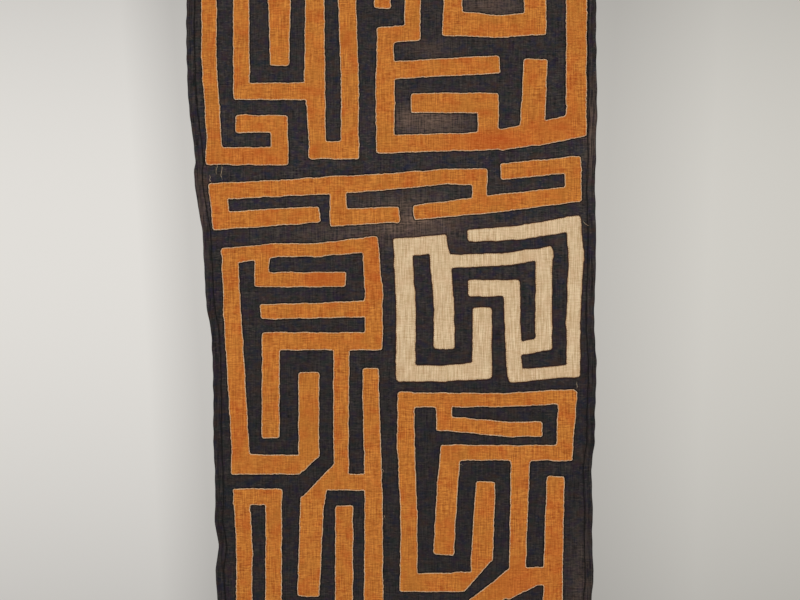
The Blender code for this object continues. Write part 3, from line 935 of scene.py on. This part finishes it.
orange = applique_material(
    "orange_weave",
    lean=0.42,
    uneven=1.0,
    pale=colour(230, 149, 62),
    body=colour(208, 122, 31),
    deep=colour(150, 71, 15),
    red=colour(190, 72, 10),
    dull=colour(182, 114, 38),
    rim=colour(224, 188, 150),
)
cream = applique_material(
    "cream_weave",
    lean=0.62,
    uneven=0.6,
    pale=colour(242, 219, 182),
    body=colour(227, 196, 154),
    deep=colour(192, 157, 116),
    red=colour(218, 174, 138),
    dull=colour(208, 180, 138),
    rim=colour(222, 196, 158),
)
charcoal = ground_material()
straw = thread_material("straw_thread", colour(206, 170, 130), colour(250, 230, 200))
umber = thread_material("umber_thread", colour(9, 5, 4), colour(26, 16, 12), 0.1)
sepia = thread_material("sepia_thread", colour(30, 13, 8), colour(62, 33, 22), 0.15)
rust = thread_material("rust_thread", colour(108, 62, 34), colour(168, 104, 58))
FINISH = {"orange_raffia": orange, "cream_raffia": cream}
THREAD = {"orange_raffia": straw, "cream_raffia": rust}
# The edge cords: partly a dark thread, partly painted shadow along each piece's edge
EDGE_CORD_AND_SHADOW = {"orange_raffia": umber, "cream_raffia": sepia}


# The sewn-on pieces


def front_places(outline, rim, normals, draw):
    """Flat places for a piece's front: its rim first, rows along this, and a loose field."""
    rows = [rim]
    for inset in RIM_INSETS:
        moved = outline.settle(rim - normals * inset, -inset)
        off = np.abs(outline.distance(moved) + inset)
        step = np.linalg.norm(moved - np.roll(moved, 1, axis=0), axis=1)
        rows.append(moved[(off < ROW_OFF) & (step > ROW_APART)])
    low, high = rim.min(axis=0), rim.max(axis=0)
    field = []
    for row, down in enumerate(np.arange(low[1], high[1], FIELD_STEP * 0.87)):
        for across in np.arange(low[0] + (row % 2) * FIELD_STEP / 2, high[0], FIELD_STEP):
            aside, below = draw.uniform(-1, 1) * FIELD_JITTER, draw.uniform(-1, 1) * FIELD_JITTER
            field.append((across + aside, down + below))
    field = np.array(field)
    rows.append(field[outline.distance(field) < -FIELD_INSET])
    places = np.vstack(rows)
    keys = np.round(places / POINTS_APART).astype(int)
    _, first = np.unique(keys, axis=0, return_index=True)
    return places[np.union1d(first, np.arange(len(rim)))]


def rim_faces(loops, total):
    """The faces from a front of that many points, over the bulging rim, to the back's rim."""
    count = sum(len(loop) for loop in loops)
    faces = []
    first = 0
    for loop in loops:
        for i in range(len(loop)):
            a, b = first + i, first + (i + 1) % len(loop)
            for upper, lower in ((0, total), (total, total + count)):
                faces.append((a + upper, b + upper, b + lower, a + lower))
        first += len(loop)
    return faces


def sew_on(name, outline, slot):
    """One sewn-on piece with its edge cord, a thread that also stands in as painted shadow along
    its edge, and its stitches: (piece, these, box, area).
    """
    draw = random.Random(name)
    loops = outline.loops()
    rim = np.vstack(loops)
    normals = outline.outward(rim)
    places = front_places(outline, rim, normals, draw)
    count, total = len(rim), len(places)

    inset = -outline.distance(places)
    front = hung(places, profile(inset))
    bulge = hung(rim + normals * BULGE_OUT, np.full(count, BULGE_HEIGHT))
    back = hung(rim, np.full(count, BACK_HEIGHT))
    triangles = filled(places, loops)
    faces = facing(places, triangles).tolist() + rim_faces(loops, total)
    behind = facing(rim, filled(rim, loops))[:, ::-1] + total + count
    faces += behind.tolist()
    flat = np.vstack([places, rim, rim])
    depth_in = np.concatenate([np.clip(inset / CM, 0.0, 1.0), np.zeros(2 * count)])
    tone = np.stack([blobs(REDDER, flat), blobs(DULLER, flat), depth_in], axis=-1)
    points = np.vstack([front, bulge, back])
    piece = add_object(name + "_cloth", points, faces, FINISH[slot], slot, tone)
    fix_winding(piece)
    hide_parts(name)

    stitched, cords_with_shadow_line = [], []
    for loop in loops:
        stitched.append(front_stitches(outline, loop, draw, slot))
        stitched.append(back_stitches(outline, loop, draw))
        # A dark cord just outside the edge: partly a thread, partly painted shadow
        path = outline.settle(loop, CORD_OUT)
        path = hung(path, np.full(len(path), CORD_HEIGHT))
        cords_with_shadow_line.append(cord_round(path, CORD_HALF, CORD_RISE))
    with_it = [
        add_object(name + "_stitches", *gathered(stitched), THREAD[slot], "cream_raffia"),
        add_object(name + "_edge_cord_and_shadow_line", *gathered(cords_with_shadow_line), EDGE_CORD_AND_SHADOW[slot], "charcoal_raffia"),
    ]
    return piece, with_it, rim.max(axis=0) - rim.min(axis=0), area_of(front, triangles)


def area_of(points, faces):
    a, b, c = (points[faces[:, k]] for k in range(3))
    return float(np.linalg.norm(np.cross(b - a, c - a), axis=1).sum() / 2)


def fix_winding(obj):
    bm = bmesh.new()
    bm.from_mesh(obj.data)
    bmesh.ops.recalc_face_normals(bm, faces=bm.faces[:])
    bm.to_mesh(obj.data)
    bm.free()


def edge_frame(outline, loop, pitch, level=0.0):
    """Places at a pitch along an outline, with the directions out of it and along it."""
    base = outline.settle(even_steps(loop, pitch), level)
    out = outline.outward(base)
    return base, out, np.stack([-out[:, 1], out[:, 0]], axis=-1)


def front_stitches(outline, loop, draw, slot):
    """Slanted overcast stitches, each from the ground over the edge to a place in the piece."""
    base, out, along = edge_frame(outline, loop, STITCH_PITCH[slot])
    count = len(base)
    jitter = np.array([[draw.uniform(-1, 1) for _ in range(4)] for _ in range(count)])
    base = base + along * (jitter[:, :1] * STITCH_SWAY)
    paths = []
    for outer, slant, height in STITCH_STOPS:
        paths.append(hung(base + out * outer + along * slant, np.full(count, height)))
    outer, slant, height = STITCH_END
    outer = outer - jitter[:, 1:2] * STITCH_SWAY
    paths.append(hung(base + out * outer + along * slant, np.full(count, height)))
    halves = STITCH_HALF[slot] * (1.0 + 0.2 * jitter[:, 2:3]) * np.ones((1, 2))
    return tubes(np.stack(paths, axis=1), halves, halves * 0.75)


def back_stitches(outline, loop, draw):
    """What the overcast stitches leave on the cloth's back."""
    base, out, along = edge_frame(outline, loop, BACK_PITCH, -BACK_INSET)
    count = len(base)
    paths = []
    for forth, height in BACK_STOPS:
        shift = along * forth * MM + out * forth * BACK_SLANT * MM
        sway = [[draw.uniform(-BACK_SWAY, BACK_SWAY) * MM] for _ in range(count)]
        place = base + shift + out * np.array(sway)
        paths.append(hung(place, np.full(count, height * MM - CLOTH_THICK)))
    halves = np.full((count, 2), BACK_HALF)
    return tubes(np.stack(paths, axis=1), halves, halves * 0.7)


# The ground cloth


def hem_steps(middle_step, whole):
    """Places across a side of the given length, close together at its hems."""
    near = [place * MM for place in HEM_PLACES]
    count = max(2, round((whole - 2 * near[-1]) / middle_step))
    inner = np.linspace(near[-1], whole - near[-1], count + 1)[1:-1]
    return np.concatenate([near, inner, [whole - place for place in reversed(near)]])


def edge_roll(edge):
    """How far the cloth's front lies back near a hemmed edge: rolled at the edge itself, and
    pulled in where the hem is sewn."""
    roll = 1.2 * MM * np.exp(-edge / (0.7 * MM))
    pull = 0.55 * MM * bell((edge - HEM_WIDTH) / (1.0 * MM))
    proud = 0.25 * MM * np.clip((HEM_WIDTH - edge) / (1.5 * MM), 0.0, 1.0)
    return roll + (pull - proud)


def ground_grid():
    """The ground's flat places in rows, and how far each is from the sides and the ends."""
    rows = hem_steps(GROUND_STEP, LENGTH)
    widest = float(side_right(0.0) - side_left(0.0))
    steps = hem_steps(GROUND_STEP, widest)
    flat = np.zeros((len(rows), len(steps), 2))
    edge = np.zeros((len(rows), len(steps)))
    for r, down in enumerate(rows):
        left = side_left(down) + SIDE_SCALLOP * scallop_left(0.0, down)
        right = side_right(down) + SIDE_SCALLOP * scallop_right(0.0, down)
        spare = (right - left) - widest
        inner = np.clip((steps - 0.02) / (widest - 0.04), 0.0, 1.0)
        across = left + steps + spare * inner
        flat[r, :, 0] = across
        flat[r, :, 1] = down
        if down < END_REACH:
            flat[r, :, 1] += END_SCALLOP * scallop_left(0.0, across) * (1 - down / END_REACH)
        if down > LENGTH - END_REACH:
            flat[r, :, 1] += END_SCALLOP * scallop_right(0.0, across)
        edge[r] = np.minimum(across - left, right - across)
    ends = np.minimum(rows, LENGTH - rows)[:, None] * np.ones_like(edge)
    return flat, edge, ends


def ground_tone(places, edge, ends):
    """What the ground's material reads: worn, painted crease shade, and within the hem, front then
    back.
    """
    nearest = np.minimum(edge, ends)
    # Painted shade along the hem folds, a fainter line inside the hem, and the very edge
    painted_crease_shade = bell((edge - HEM_WIDTH) / (1.3 * MM)) + bell((ends - HEM_WIDTH) / (1.3 * MM))
    painted_crease_shade = painted_crease_shade + 0.35 * bell((nearest - 6.0 * MM) / (1.6 * MM))
    painted_crease_shade = np.clip(painted_crease_shade + 0.4 * bell(nearest / (1.0 * MM)), 0.0, 1.0).ravel()
    within_hem = np.clip((HEM_WIDTH - nearest) / (2 * MM), 0.0, 1.0).ravel()
    tone = np.stack([blobs(WORN, places), painted_crease_shade, within_hem], axis=-1)
    return np.vstack([tone, tone * np.array([0.18, 0.6, 0.5])])


def sheet_faces(high, wide):
    """The faces of a grid's front, of its back, and of the border between them."""
    number = np.arange(high * wide).reshape(high, wide)
    quads = np.stack([number[:-1, :-1], number[1:, :-1], number[1:, 1:], number[:-1, 1:]], axis=-1)
    quads = quads.reshape(-1, 4)
    total = high * wide
    border = np.concatenate([number[0, :-1], number[:-1, -1], number[-1, :0:-1], number[:0:-1, 0]])
    following = np.roll(border, -1)
    sides = np.stack([border, following, following + total, border + total], axis=-1)
    return np.vstack([quads, quads[:, ::-1] + total, sides])


def make_ground(outlines):
    """The dark cloth, front and back, as one closed sheet."""
    flat, edge, ends = ground_grid()
    across, down = flat[..., 0], flat[..., 1]
    nearest = np.minimum(edge, ends)
    middle = depth_at(across, down)

    # The ground swells a little between the sewn-on pieces
    sewn = np.full(across.shape, 1.0)
    for outline in outlines:
        sewn = np.minimum(sewn, outline.distance(flat))
    puff = 0.3 * MM * (1.0 - bell(sewn / (6.0 * MM))) * (sewn > 0.0)
    front_y = middle - CLOTH_THICK / 2 - puff + (edge_roll(edge) + edge_roll(ends))

    flap = HEM_EXTRA * np.clip((HEM_WIDTH + 0.8 * MM - nearest) / (1.0 * MM), 0.0, 1.0)
    roll = 1.0 * MM * np.exp(-nearest / (0.7 * MM))
    pull = 0.4 * MM * bell((nearest - HEM_WIDTH + 1.6 * MM) / (0.9 * MM))
    back_y = middle + CLOTH_THICK / 2 + flap - roll - pull
    back_y = np.maximum(back_y, front_y + LEAST_THICK)

    front = np.stack([across, front_y, -down], axis=-1).reshape(-1, 3)
    back = np.stack([across, back_y, -down], axis=-1).reshape(-1, 3)
    points = np.vstack([front, back])
    faces = sheet_faces(*across.shape)
    tone = ground_tone(flat.reshape(-1, 2), edge, ends)
    ground = add_object("ground_sheet", points, faces, charcoal, "charcoal_raffia", tone)
    fix_winding(ground)
    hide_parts("ground_cloth")
    return ground


def hem_line(kind, draw):
    """Running stitches of one hem, seen on the front and the back."""
    dashes = []
    sidelong = kind in ("left", "right")
    end = LENGTH if kind == "bottom" else 0.0
    stop = LENGTH if sidelong else float(side_right(end))
    at = 1.5 * CM if sidelong else float(side_left(end)) + 1.5 * CM
    while at < stop - 2.0 * CM:
        long = draw.uniform(*DASH_LENGTH) * MM
        front = np.array(DASH_FRONT) * MM
        back = np.array(DASH_BACK) * MM - CLOTH_THICK - 0.5 * MM
        for forth, height in ((0.0, front), (long + DASH_GAP, back)):
            span = np.array([0.0, 0.25, 0.75, 1.0]) * long + at + forth
            if kind == "left":
                places = [side_left(span) + HEM_WIDTH, span]
            elif kind == "right":
                places = [side_right(span) - HEM_WIDTH, span]
            elif kind == "top":
                places = [span, np.full(4, HEM_WIDTH)]
            else:
                places = [span, np.full(4, LENGTH - HEM_WIDTH)]
            dashes.append(hung(np.stack(places, axis=-1), height))
        at += long * 2 + 2 * DASH_GAP
    return dashes


def make_hem_stitches():
    draw = random.Random(21)
    dashes = []
    for kind in ("left", "right", "top", "bottom"):
        dashes += hem_line(kind, draw)
    paths = np.array(dashes)
    halves = np.full((len(paths), 2), DASH_HALF)
    points, faces = tubes(paths, halves, halves * 0.8)
    return add_object("hem_stitches", points, faces, umber, "charcoal_raffia")


# Loose ends of thread: across and down of each stop, in centimetres
LOOSE = [
    [(-31.3, 52.6), (-31.1, 53.2), (-31.35, 54.1), (-31.2, 54.8)],
    [(-30.4, 52.9), (-30.3, 53.6), (-30.5, 54.8), (-30.2, 55.7)],
    [(-32.1, 56.1), (-32.4, 55.6), (-32.3, 55.0), (-32.5, 54.6)],
    [(31.1, 62.4), (31.4, 62.9), (31.9, 63.3), (32.4, 63.3)],
    [(-3.2, 104.7), (-3.0, 104.8), (-2.8, 105.1), (-2.8, 105.5)],
    [(-2.9, 112.5), (-2.7, 112.7), (-2.6, 113.0), (-2.6, 113.3)],
    [(8.7, 103.9), (9.4, 104.1), (10.2, 103.9), (10.8, 104.2)],
    [(30.2, 89.8), (30.1, 90.3), (30.2, 90.8), (30.0, 91.3)],
    [(16.3, 98.8), (16.7, 99.2), (17.1, 99.2), (17.4, 98.9)],
    [(10.2, 102.7), (10.5, 102.9), (10.7, 102.8), (10.9, 102.9)],
]


def make_loose_threads():
    heights = np.array(LOOSE_HEIGHTS) * MM
    paths = np.array([hung(np.array(thread) * CM, heights) for thread in LOOSE])
    halves = np.full((len(paths), 2), LOOSE_HALF)
    points, faces = tubes(paths, halves, halves)
    return add_object("loose_threads", points, faces, straw, "cream_raffia")


outlines = {name: Outline(strokes) for name, (strokes, _) in PIECES.items()}
ground = make_ground(outlines.values())
on_ground = [make_hem_stitches(), make_loose_threads()]
for name, (_, slot) in PIECES.items():
    piece, with_it, box, area = sew_on(name, outlines[name], slot)


# Floor, light and camera


def aimed(obj, target):
    turn = Vector(target) - obj.location
    obj.rotation_euler = turn.to_track_quat("-Z", "Y").to_euler()


def add_light(name, place, target, size, power, tint=(1.0, 1.0, 1.0)):
    light = bpy.data.lights.new(name, "AREA")
    light.shape = "DISK"
    light.size = size
    light.energy = power
    light.color = tint
    obj = bpy.data.objects.new(name, light)
    obj.location = place
    aimed(obj, target)
    bpy.context.scene.collection.objects.link(obj)


def make_floor():
    """A round floor under the cloth, which lies below the main camera's view."""
    count, radius, forward, down = 96, 3.6, -1.8, -1.64
    points = [(0.0, forward, down)]
    for i in range(count):
        turn = 2 * math.pi * i / count
        points.append((radius * math.cos(turn), forward + radius * math.sin(turn), down))
    mesh = bpy.data.meshes.new("floor")
    mesh.from_pydata(points, [], [(0, 1 + i, 1 + (i + 1) % count) for i in range(count)])
    graph = MaterialGraph("floor_plaster")
    speck = graph.noise((3.0, 3.0, 3.0), 3.0, 0.6)
    shade = graph.mix(graph.spread(speck, 0.3, 0.7), colour(200, 197, 192), colour(204, 201, 197))
    mesh.materials.append(graph.finish(shade, 0.8, speck, 0.1, 1 * MM, 0.5))
    floor = bpy.data.objects.new("floor", mesh)
    bpy.context.scene.collection.objects.link(floor)


def make_world():
    """A pale grey room, brightest in a level band and darker to the right, with the cloth's
    soft shade behind it."""
    world = bpy.data.worlds.new("room")
    bpy.context.scene.world = world
    world.use_nodes = True
    graph = Graph(world.node_tree, "Generated")
    x, y, z = graph.split(graph.place)
    # The band lies a little above the level, and fades faster upwards than downwards
    above = graph.maths("SUBTRACT", z, 0.042)
    off = graph.maths("MAXIMUM", graph.times(above, 1.4), graph.times(above, -1.0))
    fall = graph.times(graph.times(off, off), 6.5)
    bright = graph.maths("MAXIMUM", graph.maths("SUBTRACT", 1.0, fall), 0.55)
    wall = graph.mix(graph.spread(x, -0.13, 0.21), colour(225, 222, 217), colour(206, 203, 196))
    # The shade's two sides lean as the cloth's do
    left = graph.spread(graph.maths("MULTIPLY_ADD", z, 0.07, x), -0.135, -0.108)
    right = graph.spread(graph.maths("MULTIPLY_ADD", z, -0.045, x), 0.16, 0.106)
    behind = graph.times(graph.maths("MINIMUM", left, right), graph.spread(y, 0.5, 0.9))
    wall = graph.tinted(wall, [(behind, 0.22, colour(60, 54, 54))])
    shader = graph.tree.nodes["Background"]
    graph.put(shader.inputs["Color"], graph.mix(1.0, wall, bright, "MULTIPLY"))
    graph.put(shader.inputs["Strength"], 1.0)


make_floor()
make_world()
add_light("key", (-1.1, -3.2, 0.1), (0.0, 0.0, -0.95), 2.2, 53.0, (1.0, 0.985, 0.96))
add_light("fill", (2.0, -2.7, -1.2), (0.0, 0.0, -1.2), 2.0, 32.0)
add_light("rear", (0.8, 3.4, 1.0), (0.0, 0.0, -0.8), 2.4, 85.0)

camera = bpy.data.objects.new("camera", bpy.data.cameras.new("camera"))
camera.data.lens = LENS
camera.data.sensor_width = SENSOR
camera.location = (0.0, -SEEN_ACROSS * LENS / SENSOR, -SEEN_MIDDLE)
camera.rotation_euler = (math.radians(90.0), 0.0, 0.0)
bpy.context.scene.collection.objects.link(camera)
bpy.context.scene.camera = camera
bpy.context.scene.view_settings.view_transform = "Standard"
